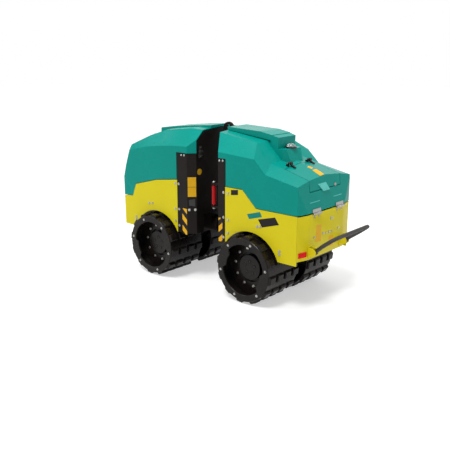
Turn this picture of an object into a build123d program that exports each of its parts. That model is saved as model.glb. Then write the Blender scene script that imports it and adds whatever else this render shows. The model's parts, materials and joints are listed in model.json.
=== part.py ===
from build123d import *
import math
import os

os.makedirs("parts", exist_ok=True)

# Trench roller, an articulated machine on four padded drums. Millimetres.
# X points to the front, Y to the machine's left and Z up, and the floor is z = 0.
# Places along X are counted from the steering pin, and place() moves them to the origin,
# which lies on the floor at the middle of the machine's length and width.

# Drums
wheelbase = 987.5
drum_radius = 260
pad_height = 20
pad_rows = 4
pads_per_row = 10
pad_length = 84
pad_gap = 16
pad_draft = 6
shell_wall = 14
drum_width = 365
drums_over_all = 850
rim_inner_radius = 188
rim_thickness = 16
rim_lobe_radius = 156
rim_lobe_width = 110
web_depth = 105
web_thickness = 14
web_bore_radius = 110
hub_radius = 98
hub_thickness = 36
hub_bore_count = 5
hub_bore_circle = 46
hub_bore_radius = 9
hub_bore_depth = 8

# Body of both frames
body_width = 676
plate = 10
seam = 5
arch_gap = 15
side_foot = 360
trim_foot = 400
trim_top = 1045
floor_top = 560
prow_depth = 27
prow_half_width = 226

# Beam, axles and articulation
beam_width = 90
beam_foot = 200
beam_radius = 86
axle_radius = 50
pivot_height = 425
ear_thickness = 20
ear_span = 190
ear_half_width = 60
ear_reach = 262
steer_pin_radius = 30
yoke_radius = 55
yoke_play = 2
trunnion_radius = 45
trunnion_length = 130
running_clearance = 0.05
bearing_wall = 30

# Hoods
hood_wall = 6
hood_lap = 12
band_half_width = 115
dome_radius = 36
dome_height = 24
dome_base_radius = 40
dome_base_height = 12
hinge_radius = 8
hinge_pin_radius = 4
hinge_leaf = 4
hinge_leaf_height = 38
hinge_width = 101
hinge_place = 137

# Hatch on the rear hood
hatch_half_width = 200
hatch_front = -690
hatch_foot = 862
latch_thickness = 9
hatch_hinge_place = 120
hatch_hinge_width = 54

# Stop bar
bar_radius = 14
bar_half_width = 243
bar_root_half_width = 205
bar_bend = 55
bar_rise = 137
bar_reach = 196
bar_eye_radius = 20
bar_eye_length = 30
bar_pin_radius = 9
bracket_cheek = 8
bracket_play = 1

# Steering cylinder
cylinder_offset = 105
cylinder_rear = -236
cylinder_radius = 28
cylinder_bore = 12
cylinder_eye_radius = 22
cylinder_eye_thickness = 28
cylinder_body_length = 152
cylinder_height = 482
lug_thickness = 14

# Lifting eye, lock bar, reflectors and engine
eye_thickness = 22
eye_top = 1273
eye_half_length = 50
eye_hole_radius = 17
eye_hole_height = 1240
lock_bar_radius = 17
lock_bar_length = 144
lock_bar_foot = 668
lock_bar_pin_reach = 10
lock_bar_x = -84
lock_bar_y = 270
latch_place = 245
reflector_thickness = 4
engine_length = 470
engine_width = 420
engine_height = 400

half_body = body_width / 2
half_axles = wheelbase / 2
half_drums = drums_over_all / 2
drum_inner = half_drums - drum_width
shell_radius = drum_radius - pad_height
arch_radius = drum_radius + arch_gap

# Upper edges of the yellow side plates, as (x, z) from the gap end to the outer end
rear_side_top = [(-256, 836), (-421, 836), (-549, 715), (-907, 715)]
front_side_top = [(251, 826), (496, 793), (748, 726), (794, 618), (898, 611)]

# Plan of the gap end: where the side trim starts, where it turns, and the end plane
# trim_start, trim_end, end_plane, end_half_width
rear_gap = (-256, -188, -88, 205)
front_gap = (251, 140, 88, 284)

# Hood stations from the gap end to the outer end. Each row gives (x, z) of the chamfer's
# low edge at the body's side, (x, y, z) of its top edge and (x, z) of the crown.
rear_hood_rows = [
    ((-88, 1096), (-88, 205, 1216), (-88, 1236)),
    ((-526, 1070), (-448, 205, 1165), (-501, 1188)),
    ((-630, 972), (-578, 205, 1032), (-610, 1050)),
    ((-960, 908), (-960, 205, 927), (-960, 944)),
]
front_hood_rows = [
    ((88, 1099), (88, 205, 1220), (88, 1237)),
    ((190, 1096), (190, 218, 1226), (190, 1236)),
    ((305, 1090), (305, 238, 1214), (305, 1226)),
    ((445, 1077), (445, 262, 1197), (445, 1210)),
    ((600, 1058), (600, 289, 1145), (600, 1166)),
    ((808, 1009), (808, 325, 1052), (808, 1078)),
    ((960, 965), (960, 330, 1000), (960, 1020)),
]
# Face of each hood's outer end, as (x, z) from the hinge up
rear_face = [(-934, 700), (-898, 965)]
front_face = [(925, 611), (920, 698), (868, 876), (792, 1075)]
# Top of the raised band along each crown, as (x, z)
rear_band = [(-88, 1250), (-407, 1238), (-500, 1221), (-510, 1219)]
front_band = [(88, 1249), (314, 1231), (547, 1206), (654, 1190), (658, 1140), (744, 1132)]

rear_end = rear_side_top[-1][0]
front_end = front_side_top[-1][0]
rear_plate_x = rear_end - prow_depth
front_plate_x = front_end + prow_depth
bar_root_x = rear_plate_x - 34
bar_root_z = 447
origin_shift = -(front_plate_x + bar_root_x - bar_reach) / 2


def place(shape):
    return Pos(origin_shift, 0, 0) * shape


def save(node, shape):
    export_step(place(shape), f"parts/{node}.step")


def block(x_low, x_high, y_low, y_high, z_low, z_high):
    size = (x_high - x_low, y_high - y_low, z_high - z_low)
    middle = ((x_low + x_high) / 2, (y_low + y_high) / 2, (z_low + z_high) / 2)
    return Pos(*middle) * Box(*size)


def prism_xz(points, y_low, y_high):
    outline = Polyline([(x, y_low, z) for x, z in points], close=True)
    return extrude(make_face(outline), amount=y_high - y_low, dir=(0, 1, 0))


def prism_xy(points, z_low, z_high):
    outline = Polyline([(x, y, z_low) for x, y in points], close=True)
    return extrude(make_face(outline), amount=z_high - z_low, dir=(0, 0, 1))


def prism_yz(points, x_low, x_high):
    outline = Polyline([(x_low, y, z) for y, z in points], close=True)
    return extrude(make_face(outline), amount=x_high - x_low, dir=(1, 0, 0))


def bar_x(y, z, radius, x_low, x_high):
    return Pos((x_low + x_high) / 2, y, z) * Rot(0, 90, 0) * Cylinder(radius, x_high - x_low)


def bar_y(x, z, radius, y_low, y_high):
    return Pos(x, (y_low + y_high) / 2, z) * Rot(90, 0, 0) * Cylinder(radius, y_high - y_low)


def bar_z(x, y, radius, z_low, z_high):
    return Pos(x, y, (z_low + z_high) / 2) * Cylinder(radius, z_high - z_low)


def other_side(shape):
    return mirror(shape, about=Plane.XZ)


def both_sides(shape):
    return shape + other_side(shape)


# Padded drum, left side, axis through (0, y, 0)
def drum_shell():
    shell = bar_y(0, 0, shell_radius, drum_inner, half_drums)
    shell -= bar_y(0, 0, shell_radius - shell_wall, drum_inner, half_drums - rim_thickness)
    opening = bar_y(0, 0, rim_inner_radius, half_drums - rim_thickness, half_drums)
    lobes = Part()
    for turn in (30, 210):
        reach = shell_radius
        lobe = block(rim_lobe_radius, reach, half_drums - rim_thickness, half_drums,
                     -rim_lobe_width / 2, rim_lobe_width / 2)
        lobes += Rot(0, -turn, 0) * lobe
    shell -= opening - lobes
    web_outer = half_drums - web_depth
    web = bar_y(0, 0, shell_radius - shell_wall, web_outer - web_thickness, web_outer)
    web -= bar_y(0, 0, web_bore_radius, web_outer - web_thickness, web_outer)
    return shell + web


def drum_pads():
    pitch = (drum_width + pad_gap) / pad_rows
    pad_width = pitch - pad_gap
    base_radius = shell_radius - 2
    pads = []
    for row in range(pad_rows):
        y_low = drum_inner + row * pitch
        outline = Polyline([
            (-pad_length / 2 - pad_draft, y_low, base_radius),
            (-pad_length / 2, y_low, drum_radius + pad_draft),
            (pad_length / 2, y_low, drum_radius + pad_draft),
            (pad_length / 2 + pad_draft, y_low, base_radius),
        ], close=True)
        pad = extrude(make_face(outline), amount=pad_width, dir=(0, 1, 0))
        pad &= bar_y(0, 0, drum_radius, y_low, y_low + pad_width)
        for step in range(pads_per_row):
            turn = (step + row % 2 / 2) * 360 / pads_per_row
            pads.append(Rot(0, turn, 0) * pad)
    return pads


def drum():
    return drum_shell() + drum_pads()


def hub():
    face = half_drums - web_depth + web_thickness
    disc = bar_y(0, 0, hub_radius, face - hub_thickness, face)
    for step in range(hub_bore_count):
        angle = math.radians(step * 360 / hub_bore_count + 18)
        x = hub_bore_circle * math.cos(angle)
        z = hub_bore_circle * math.sin(angle)
        disc -= bar_y(x, z, hub_bore_radius, face - hub_bore_depth, face)
    flange_back = half_drums - web_depth - web_thickness
    flange = bar_y(0, 0, web_bore_radius + 14, flange_back - 10, flange_back)
    return disc + flange


# One frame's plates. end is -1 for the rear and 1 for the front.
def side_plate(end, side_top, gap):
    axle = end * half_axles
    arch_x = end * math.sqrt(arch_radius ** 2 - (trim_foot - drum_radius) ** 2)
    foot_x = end * math.sqrt(arch_radius ** 2 - (side_foot - drum_radius) ** 2)
    outer_end = side_top[-1][0]
    points = list(side_top)
    points += [(outer_end, side_foot), (axle + foot_x, side_foot), (axle, drum_radius)]
    points += [(gap[0], trim_foot - 2)]
    panel = prism_xz(points, half_body - plate, half_body)
    panel -= bar_y(axle, drum_radius, arch_radius, half_body - plate, half_body)
    return panel


def end_plate(end, side_top):
    outer_end = side_top[-1][0]
    prow = outer_end + end * prow_depth
    half_inside = half_body - plate - 0.3
    outline = [(outer_end, half_inside), (prow, prow_half_width),
               (prow, -prow_half_width), (outer_end, -half_inside),
               (outer_end - end * plate, -half_inside), (prow - end * plate, -prow_half_width),
               (prow - end * plate, prow_half_width), (outer_end - end * plate, half_inside)]
    return prism_xy(outline, 388, side_top[-1][1] - seam)


def chassis(end, side_top):
    axle = end * half_axles
    inner_end = end * ear_reach
    outer_end = side_top[-1][0] - end * (plate + 0.3)
    half_width = half_body - plate - 0.3
    tub = block(min(inner_end, outer_end), max(inner_end, outer_end),
                -half_width, half_width, trim_foot, floor_top)
    tub -= bar_y(axle, drum_radius, arch_radius, -half_width, half_width)
    return tub


def beam(end):
    axle = end * half_axles
    low = beam_radius * 0.8
    outline = [(axle + end * 266, floor_top - 15), (axle + end * low, beam_foot),
               (axle - end * low, beam_foot), (end * ear_reach, pivot_height - ear_span / 2),
               (end * ear_reach, floor_top - 15)]
    web = prism_xz(outline, -beam_width / 2, beam_width / 2)
    hub_back = half_drums - web_depth - web_thickness - 10
    axles = bar_y(axle, drum_radius, axle_radius, -hub_back + 0.5, hub_back - 0.5)
    carrier = bar_y(axle, drum_radius, beam_radius, -beam_width / 2, beam_width / 2)
    tub_room = block(-1200, 1200, -beam_width, beam_width, trim_foot, floor_top)
    tub_room -= bar_y(axle, drum_radius, arch_radius, -beam_width, beam_width)
    return web + axles + carrier - tub_room


def gap_plan(end, gap, inset):
    trim_start, trim_end, end_plane, half_end = gap
    side = half_body - inset
    return [(trim_start, side), (trim_end + end * inset / 2, side),
            (end_plane + end * inset, half_end - inset / 2),
            (end_plane + end * inset, -half_end + inset / 2),
            (trim_end + end * inset / 2, -side), (trim_start, -side)]


def bulkhead(end, gap, hood_rows):
    trim_start, trim_end, end_plane, half_end = gap
    wrap = prism_xy(gap_plan(end, gap, 0), trim_foot, trim_top - seam)
    wrap -= prism_xy(gap_plan(end, gap, plate), trim_foot, trim_top - seam)
    wrap -= block(-110, 110, -205, 205, trim_foot, 545)
    half_door = half_end - hood_lap
    low, top, crown = hood_rows[0]
    slope = (top[2] - low[1]) / (half_body - top[1])
    shoulder = top[2] - hood_lap - max(half_door - top[1], 0) * slope
    outline = [(-half_door, 545), (half_door, 545), (half_door, shoulder - 6),
               (min(half_door, top[1] - 8), top[2] - hood_lap), (0, crown[1] - hood_lap),
               (-min(half_door, top[1] - 8), top[2] - hood_lap), (-half_door, shoulder - 6)]
    inner = end_plane + end * plate
    door = prism_yz(outline, min(end_plane, inner), max(end_plane, inner))
    return wrap + door


def hood_form(end, rows, gap, face, side_top, inset):
    sections = []
    for low, top, crown in rows:
        side = half_body - inset
        low_z = low[1] - inset * 0.7
        top_y = top[1] - inset * 0.4
        top_z = top[2] - inset
        crown_z = crown[1] - inset
        sections.append(Wire.make_polygon([
            (low[0], side, 500), (low[0], side, low_z), (top[0], top_y, top_z),
            (crown[0], 0, crown_z), (top[0], -top_y, top_z), (low[0], -side, low_z),
            (low[0], -side, 500)], close=True))
    form = Solid.make_loft(sections, ruled=True)
    outer_end = side_top[-1][0]
    prow = outer_end + end * prow_depth
    tip = end * inset
    plan = [(gap[2], half_body), (gap[2], gap[3]), (gap[1], half_body)]
    plan = [(gap[2], gap[3] - inset / 2), (gap[1] + tip / 2, half_body - inset),
            (outer_end - tip, half_body - inset), (prow - tip, prow_half_width),
            (prow - tip, -prow_half_width), (outer_end - tip, -half_body + inset),
            (gap[1] + tip / 2, -half_body + inset), (gap[2], -gap[3] + inset / 2)]
    form &= prism_xy(plan, 500, 1300)
    front = [(x - tip, z) for x, z in face]
    top_x, top_z = front[-1]
    profile = [(0, 500), (front[0][0], 500)] + front + [(top_x - end * 60, 1300), (0, 1300)]
    form &= prism_xz(profile, -half_body, half_body)
    return form


def hood_foot(gap, side_top):
    foot = [(x, z + seam) for x, z in side_top]
    start_x, start_z = foot[0]
    end = 1 if start_x > 0 else -1
    foot[0] = (start_x + end * seam, start_z)
    return [(0, 400), (0, trim_top), (gap[0] + end * seam, trim_top)] + foot + [
        (foot[-1][0] + end * 200, foot[-1][1]), (foot[-1][0] + end * 200, 400)]


def hood_shell(end, rows, gap, face, side_top):
    outer = hood_form(end, rows, gap, face, side_top, 0)
    inner = hood_form(end, rows, gap, face, side_top, hood_wall)
    cut = prism_xz(hood_foot(gap, side_top), -half_body - 1, half_body + 1)
    return outer - inner - cut, inner


def band(end, points, rows, inner):
    crown = [(row[2][0], row[2][1] - hood_wall - 2) for row in rows]
    last_x = points[-1][0]
    under = [point for point in crown if abs(point[0]) < abs(last_x)]
    outline = list(points) + [(last_x, under[-1][1] - 60)] + under[::-1]
    return prism_xz(outline, -band_half_width, band_half_width) - inner


def hinge(end, axis_x, axis_z, frame_face, hood_face):
    fixed = []
    moving = []
    for middle in (hinge_place, -hinge_place - 25):
        y_low = middle - hinge_width / 2
        third = hinge_width / 3
        leaf = [(x, z) for x, z in frame_face] + [(x + end * hinge_leaf, z) for x, z in frame_face[::-1]]
        part = prism_xz(leaf, y_low, y_low + hinge_width)
        for low in (y_low, y_low + 2 * third):
            part += bar_y(axis_x, axis_z, hinge_radius, low, low + third)
        part -= bar_y(axis_x, axis_z, hinge_radius + 1.5, y_low + third, y_low + 2 * third)
        part += bar_y(axis_x, axis_z, hinge_pin_radius, y_low, y_low + hinge_width)
        fixed.append(part)
        leaf = [(x, z) for x, z in hood_face] + [(x + end * hinge_leaf, z) for x, z in hood_face[::-1]]
        part = prism_xz(leaf, y_low, y_low + hinge_width)
        for low in (y_low, y_low + 2 * third):
            part -= bar_y(axis_x, axis_z, hinge_radius + 1.5, low, low + third + 1.5)
        part += bar_y(axis_x, axis_z, hinge_radius, y_low + third + 1, y_low + 2 * third - 1)
        part -= bar_y(axis_x, axis_z, hinge_pin_radius + running_clearance, y_low, y_low + hinge_width)
        moving.append(part)
    return Part() + fixed, Part() + moving


def face_x(face, z):
    for (x0, z0), (x1, z1) in zip(face, face[1:]):
        if z <= z1:
            return x0 + (x1 - x0) * (z - z0) / (z1 - z0)
    return face[-1][0]


def ear_frame():
    z_low = pivot_height - ear_span / 2
    z_high = pivot_height + ear_span / 2
    frame = Part()
    for z in (z_low, z_high - ear_thickness):
        ear = block(-ear_reach + plate, 0, -ear_half_width, ear_half_width, z, z + ear_thickness)
        ear += bar_z(0, 0, ear_half_width, z, z + ear_thickness)
        frame += ear
    frame += block(-ear_reach, -ear_reach + plate + 12, -ear_half_width, ear_half_width,
                   z_low, floor_top - 20)
    frame += bar_z(0, 0, steer_pin_radius, z_low, z_high)
    lug_top = cylinder_height - cylinder_eye_thickness / 2 - yoke_play / 2
    frame += block(-ear_reach, cylinder_rear + 14, ear_half_width - 5,
                   cylinder_offset + 28, lug_top - lug_thickness, lug_top)
    frame += bar_z(cylinder_rear, cylinder_offset, 10, lug_top, lug_top + cylinder_eye_thickness + 8)
    return frame


def yoke():
    z_low = pivot_height - ear_span / 2 + ear_thickness + yoke_play
    z_high = pivot_height + ear_span / 2 - ear_thickness - yoke_play
    body = bar_z(0, 0, yoke_radius, z_low, z_high)
    body += bar_x(0, pivot_height, trunnion_radius, 0, yoke_radius + trunnion_length)
    body += block(0, yoke_radius + 10, -yoke_radius, yoke_radius, z_low, z_high)
    lug_top = cylinder_height - cylinder_eye_thickness / 2 - yoke_play / 2
    body += block(-cylinder_eye_radius, cylinder_eye_radius, 0, cylinder_offset,
                  lug_top - lug_thickness, lug_top)
    body += bar_z(0, cylinder_offset, cylinder_eye_radius, lug_top - lug_thickness, lug_top)
    body -= bar_z(0, 0, steer_pin_radius + running_clearance, z_low, z_high)
    return body


def bearing():
    start = yoke_radius + 10 + yoke_play
    radius = trunnion_radius + bearing_wall
    house = bar_x(0, pivot_height, radius, start, ear_reach)
    house += block(start + 60, ear_reach, -radius, radius, pivot_height, floor_top - 20)
    house -= bar_x(0, pivot_height, trunnion_radius + running_clearance,
                   start, yoke_radius + trunnion_length + 5)
    return house


def cylinder_barrel():
    tube = bar_x(cylinder_offset, cylinder_height, cylinder_radius,
                 cylinder_rear + cylinder_eye_radius - 3, cylinder_rear + cylinder_body_length)
    tube += bar_z(cylinder_rear, cylinder_offset, cylinder_eye_radius,
                  cylinder_height - cylinder_eye_thickness / 2,
                  cylinder_height + cylinder_eye_thickness / 2)
    tube -= bar_x(cylinder_offset, cylinder_height, cylinder_bore + running_clearance,
                  cylinder_rear + cylinder_eye_radius + 6, 0)
    tube -= bar_z(cylinder_rear, cylinder_offset, 10 + running_clearance,
                  cylinder_height - 40, cylinder_height + 40)
    return tube


def cylinder_rod():
    rod = bar_x(cylinder_offset, cylinder_height, cylinder_bore,
                cylinder_rear + cylinder_eye_radius + 60, -10)
    rod += bar_z(0, cylinder_offset, cylinder_eye_radius,
                 cylinder_height - cylinder_eye_thickness / 2,
                 cylinder_height + cylinder_eye_thickness / 2)
    return rod


# Stop bar: two arms rise from the brackets and the cross tube joins them
def stop_bar():
    tip_x = bar_root_x - bar_reach + bar_radius
    tip_z = bar_root_z + bar_rise
    rise = bar_rise / (bar_reach - bar_radius)
    mid_x = bar_root_x - 70
    points = [
        (bar_root_x, bar_root_half_width, bar_root_z),
        (bar_root_x - 38, bar_root_half_width, bar_root_z + 38 * rise),
        (mid_x - 20, bar_half_width, bar_root_z + 90 * rise),
        (tip_x, bar_half_width, tip_z),
    ]
    path_points = points + [(x, -y, z) for x, y, z in points[::-1]]
    path = FilletPolyline(*path_points, radius=[24, 24, bar_bend, bar_bend, 24, 24])
    start = Plane(origin=path @ 0, z_dir=path % 0)
    tube = sweep(start * Circle(bar_radius), path=path)
    for side in (1, -1):
        y = side * bar_root_half_width
        tube += bar_y(bar_root_x, bar_root_z, bar_eye_radius, y - bar_eye_length / 2, y + bar_eye_length / 2)
        tube -= bar_y(bar_root_x, bar_root_z, bar_pin_radius + running_clearance, y - 40, y + 40)
    return tube


def bar_brackets():
    half = bar_eye_length / 2 + bracket_play
    brackets = Part()
    for y in (half, -half - bracket_cheek):
        low = bar_root_half_width + y
        cheek = block(rear_plate_x - 40, rear_plate_x - 0.3, low, low + bracket_cheek,
                      bar_root_z - 30, bar_root_z + 30)
        brackets += cheek + bar_y(bar_root_x, bar_root_z, 26, low, low + bracket_cheek)
    low = bar_root_half_width - half - bracket_cheek
    high = bar_root_half_width + half + bracket_cheek
    brackets += bar_y(bar_root_x, bar_root_z, bar_pin_radius, low, high)
    brackets += block(rear_plate_x - 8, rear_plate_x - 0.3, low - 4, high + 4,
                      bar_root_z - 42, bar_root_z + 42)
    return both_sides(brackets)


def lifting_eye():
    base = 1180
    arch = bar_y(0, eye_top - eye_half_length, eye_half_length, -eye_thickness / 2, eye_thickness / 2)
    arch += block(-eye_half_length, eye_half_length, -eye_thickness / 2, eye_thickness / 2,
                  base, eye_top - eye_half_length)
    arm = prism_xz([(rear_gap[2] + 0.3, 900), (eye_half_length, base), (eye_half_length, base + 20),
                    (-eye_half_length, base + 20), (rear_gap[2] + 0.3, 1180)],
                   -eye_thickness / 2, eye_thickness / 2)
    foot = block(rear_gap[2] + 0.3, rear_gap[2] + 12, -60, 60, 900, 1180)
    return arch + arm + foot - bar_y(0, eye_hole_height, eye_hole_radius, -40, 40)


# Red bar that locks the steering for transport, held off the rear frame's angled corner
def lock_bar():
    low = lock_bar_foot
    high = lock_bar_foot + lock_bar_length
    reach = lock_bar_pin_reach
    tube = bar_z(lock_bar_x, lock_bar_y, lock_bar_radius, low, high)
    return tube + bar_z(lock_bar_x, lock_bar_y, lock_bar_radius / 2, low - reach, high + reach)


def lock_bar_ears():
    ears = Part()
    low = lock_bar_foot - lock_bar_pin_reach - lug_thickness - 0.3
    high = lock_bar_foot + lock_bar_length + lock_bar_pin_reach + 0.3
    trim_start, trim_end, end_plane, half_end = rear_gap
    for z in (low, high):
        ear = prism_xy([(lock_bar_x - 14, lock_bar_y + 14), (lock_bar_x + 12, lock_bar_y - 16),
                        (end_plane - 22, half_end + 22), (trim_end + 42, half_body - 62)], z, z + lug_thickness)
        ears += ear + bar_z(lock_bar_x, lock_bar_y, 20, z, z + lug_thickness)
    return ears


def reflectors():
    side = [(rear_end - 5, half_body - 22), (rear_plate_x + 5, prow_half_width + 18)]
    (x0, y0), (x1, y1) = side
    run = math.hypot(x1 - x0, y1 - y0)
    out_x = -(y0 - y1) / run
    out_y = (x0 - x1) / run
    ring = [(x + out_x * off, y + out_y * off) for off in (0.3, reflector_thickness)
            for x, y in (side if off == 0.3 else side[::-1])]
    return both_sides(prism_xy(ring, 414, 452))


# Rubber draw latches, one each side, on the bulkhead just under the hood
def latches(end, gap):
    trim_start, trim_end, end_plane, half_end = gap
    pieces = Part()
    face = end_plane - end * 0.3
    y = latch_place
    for depth, z_low, z_high, width in ((16, 1010, 1042, 30), (10, 1042, 1098, 22), (22, 1050, 1066, 34)):
        tip = face - end * depth
        pieces += block(min(tip, face), max(tip, face), y - width / 2, y + width / 2, z_low, z_high)
    return pieces


def dome(x, z):
    base = bar_z(x, 0, dome_base_radius, z, z + dome_base_height)
    top = z + dome_base_height + 0.3
    sphere_radius = (dome_radius ** 2 + dome_height ** 2) / (2 * dome_height)
    lens = Pos(x, 0, top + dome_height - sphere_radius) * Sphere(sphere_radius)
    lens &= block(x - 100, x + 100, -100, 100, top, top + 100)
    return base, lens


# Both hoods
rear_shell, rear_inner = hood_shell(-1, rear_hood_rows, rear_gap, rear_face, rear_side_top)
front_shell, front_inner = hood_shell(1, front_hood_rows, front_gap, front_face, front_side_top)
rear_shell += band(-1, rear_band, rear_hood_rows, rear_inner)
front_shell += band(1, front_band, front_hood_rows, front_inner)

ledge_z = 1122
tower_low = [(-500, 115), (-600, 100), (-665, 71), (-665, -71), (-600, -100), (-500, -115)]
tower = prism_xy(tower_low, 1000, 1215)
tower &= prism_xz([(-490, 1000), (-490, 1222), (-566, 1204), (-562, ledge_z), (-627, ledge_z), (-668, 1000)],
                  -200, 200)
tower -= rear_inner
rear_shell += tower

# The hatch is the part of the hood's nose inside its own outline, lifted out with a seam round it
hatch_room = block(-1000, hatch_front, -hatch_half_width, hatch_half_width, hatch_foot, 1100)
hatch_body = block(-1000, hatch_front - seam, -hatch_half_width + seam, hatch_half_width - seam,
                   hatch_foot + seam, 1100)
hatch_panel = rear_shell & hatch_body
rear_shell -= hatch_room

hatch_axis_x = hatch_front + 8
hatch_axis_z = 1036

save("rear_hood_shell", rear_shell)
save("front_hood_shell", front_shell)
save("hatch_panel", hatch_panel)

latch_top = face_x(rear_face, 908) - 0.3
latch_low = face_x(rear_face, 853) - 0.6
latch = prism_xz([(latch_top, 908), (latch_top - 3, 908), (latch_low - latch_thickness, 853),
                  (latch_low, 853)], -50, 100)
latch &= prism_yz([(-6, 908), (96, 908), (40, 853), (-42, 853)], rear_plate_x - 60, rear_plate_x + 60)
save("hatch_latch", latch)

# Hatch hinges: two black blocks on the fixed hood and two arms on the hatch
hatch_skin = hood_form(-1, rear_hood_rows, rear_gap, rear_face, rear_side_top, -0.3)
hatch_fixed = Part()
hatch_arms = Part()
for middle in (hatch_hinge_place, -hatch_hinge_place):
    low = middle - hatch_hinge_width / 2
    third = hatch_hinge_width / 3
    foot_x = hatch_front + 1
    for y in (low, low + 2 * third):
        fixed = block(foot_x, hatch_axis_x + 18, y, y + third, 960, hatch_axis_z)
        fixed += bar_y(hatch_axis_x, hatch_axis_z, hinge_radius, y, y + third)
        hatch_fixed += fixed - hatch_skin
    hatch_fixed += bar_y(hatch_axis_x, hatch_axis_z, hinge_pin_radius, low, low + hatch_hinge_width)
    arm = prism_xz([(hatch_front - 48, 960), (hatch_front - 48, hatch_axis_z - 14),
                    (hatch_axis_x - 6, hatch_axis_z + 6), (hatch_axis_x, hatch_axis_z),
                    (hatch_front - seam - 2, hatch_axis_z - 12), (hatch_front - seam - 2, 960)],
                   low + third + 1, low + 2 * third - 1)
    arm += bar_y(hatch_axis_x, hatch_axis_z, hinge_radius, low + third + 1, low + 2 * third - 1)
    arm -= bar_y(hatch_axis_x, hatch_axis_z, hinge_pin_radius + running_clearance, low, low + 3 * third)
    hatch_arms += arm - hatch_skin
save("hatch_hinge_blocks", hatch_fixed)
save("hatch_hinge_arms", hatch_arms)

for end, name, rows, gap, face, side_top in (
        (-1, "rear", rear_hood_rows, rear_gap, rear_face, rear_side_top),
        (1, "front", front_hood_rows, front_gap, front_face, front_side_top)):
    panel = side_plate(end, side_top, gap)
    save(f"{name}_side_left", panel)
    save(f"{name}_side_right", other_side(panel))
    save(f"{name}_end_plate", end_plate(end, side_top))
    save(f"{name}_chassis", chassis(end, side_top))
    joint_piece = ear_frame() if end < 0 else bearing()
    save(f"{name}_centre_frame", beam(end) + joint_piece)
    wrap = bulkhead(end, gap, rows)
    if end < 0:
        wrap += lock_bar_ears()
    save(f"{name}_bulkhead", wrap)
    hinge_x = side_top[-1][0] + end * (prow_depth + hinge_radius + 2)
    hinge_z = side_top[-1][1] - seam / 2
    base_x = side_top[-1][0] + end * (prow_depth + 0.3)
    frame_face = [(base_x, hinge_z - hinge_leaf_height), (base_x, hinge_z - 3)]
    z_up = hinge_z + hinge_leaf_height
    hood_face = [(base_x, hinge_z + 3), (face_x(face, z_up) + end * 0.3, z_up)]
    fixed, moving = hinge(end, hinge_x, hinge_z, frame_face, hood_face)
    save(f"{name}_hood_hinges", fixed)
    save(f"{name}_hinge_leaves", moving)
    drum_here = Pos(end * half_axles, 0, drum_radius)
    save(f"{name}_drum_left", drum_here * drum())
    save(f"{name}_drum_right", drum_here * other_side(drum()))
    save(f"{name}_hub_left", drum_here * hub())
    save(f"{name}_hub_right", drum_here * other_side(hub()))

save("yoke", yoke())
save("cylinder_barrel", cylinder_barrel())
save("cylinder_rod", cylinder_rod())
save("stop_bar", stop_bar())
save("bar_brackets", bar_brackets())
save("lifting_eye", lifting_eye())
save("lock_bar", lock_bar())
save("rear_reflectors", reflectors())
save("front_latches", both_sides(latches(1, front_gap)))
for name, x, z in (("rear", -604, ledge_z + 0.3), ("front", 701, 1140.4)):
    base, lens = dome(x, z)
    save(f"{name}_dome_base", base)
    save(f"{name}_dome_lens", lens)
engine_x = -560
save("engine_block", block(engine_x - engine_length / 2, engine_x + engine_length / 2,
                           -engine_width / 2, engine_width / 2, floor_top + 0.3,
                           floor_top + 0.3 + engine_height))
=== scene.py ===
import bpy
import bmesh
import json
import math
import numpy as np
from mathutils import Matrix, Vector


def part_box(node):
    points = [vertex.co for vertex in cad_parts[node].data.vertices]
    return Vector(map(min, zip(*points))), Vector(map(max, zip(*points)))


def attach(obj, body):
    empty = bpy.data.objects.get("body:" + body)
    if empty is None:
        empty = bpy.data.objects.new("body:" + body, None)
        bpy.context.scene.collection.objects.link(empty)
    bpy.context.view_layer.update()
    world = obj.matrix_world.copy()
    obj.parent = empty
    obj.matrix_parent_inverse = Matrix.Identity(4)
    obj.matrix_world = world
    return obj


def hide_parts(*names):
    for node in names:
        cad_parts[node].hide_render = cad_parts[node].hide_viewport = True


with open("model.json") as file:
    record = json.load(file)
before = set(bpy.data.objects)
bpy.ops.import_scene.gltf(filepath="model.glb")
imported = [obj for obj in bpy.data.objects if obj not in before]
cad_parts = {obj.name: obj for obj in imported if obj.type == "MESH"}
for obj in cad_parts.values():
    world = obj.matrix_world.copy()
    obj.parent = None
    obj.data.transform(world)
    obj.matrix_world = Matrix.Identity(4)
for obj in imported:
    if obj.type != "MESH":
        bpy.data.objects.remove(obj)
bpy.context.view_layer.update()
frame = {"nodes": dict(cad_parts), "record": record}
nodes = frame["nodes"]
print("frame loaded with", len(nodes), "nodes")


# Colours and shader nodes
def toLinear(hexColour):
    parts = [int(hexColour[i:i + 2], 16) / 255 for i in (1, 3, 5)]
    return tuple(c / 12.92 if c <= 0.04045 else ((c + 0.055) / 1.055) ** 2.4 for c in parts) + (1.0,)


# Adds one shader node: settings go to its properties or sockets, links join its sockets
def addNode(tree, kind, settings=None, links=None):
    node = tree.nodes.new(kind)
    for key, value in (settings or {}).items():
        if isinstance(key, str) and hasattr(node, key):
            setattr(node, key, value)
        else:
            node.inputs[key].default_value = value
    for key, source in (links or {}).items():
        tree.links.new(source, node.inputs[key])
    return node


# One step of arithmetic on a socket, with a number or with another socket
def worked(tree, operation, first, second=None):
    linked = isinstance(second, bpy.types.NodeSocket)
    settings = {"operation": operation} if linked or second is None else {"operation": operation, 1: second}
    return addNode(tree, "ShaderNodeMath", settings, {0: first, 1: second} if linked else {0: first}).outputs[0]


# Base colour that goes from one colour to the other with the share
def colourBetween(tree, shader, share, first, second):
    mix = addNode(tree, "ShaderNodeMix", {"data_type": "RGBA", 6: toLinear(first), 7: toLinear(second)}, {0: share})
    tree.links.new(mix.outputs[2], shader.inputs["Base Color"])


def bumped(tree, shader, height, strength, depth):
    bump = addNode(tree, "ShaderNodeBump", {"Strength": strength, "Distance": depth}, {"Height": height})
    tree.links.new(bump.outputs["Normal"], shader.inputs["Normal"])


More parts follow.
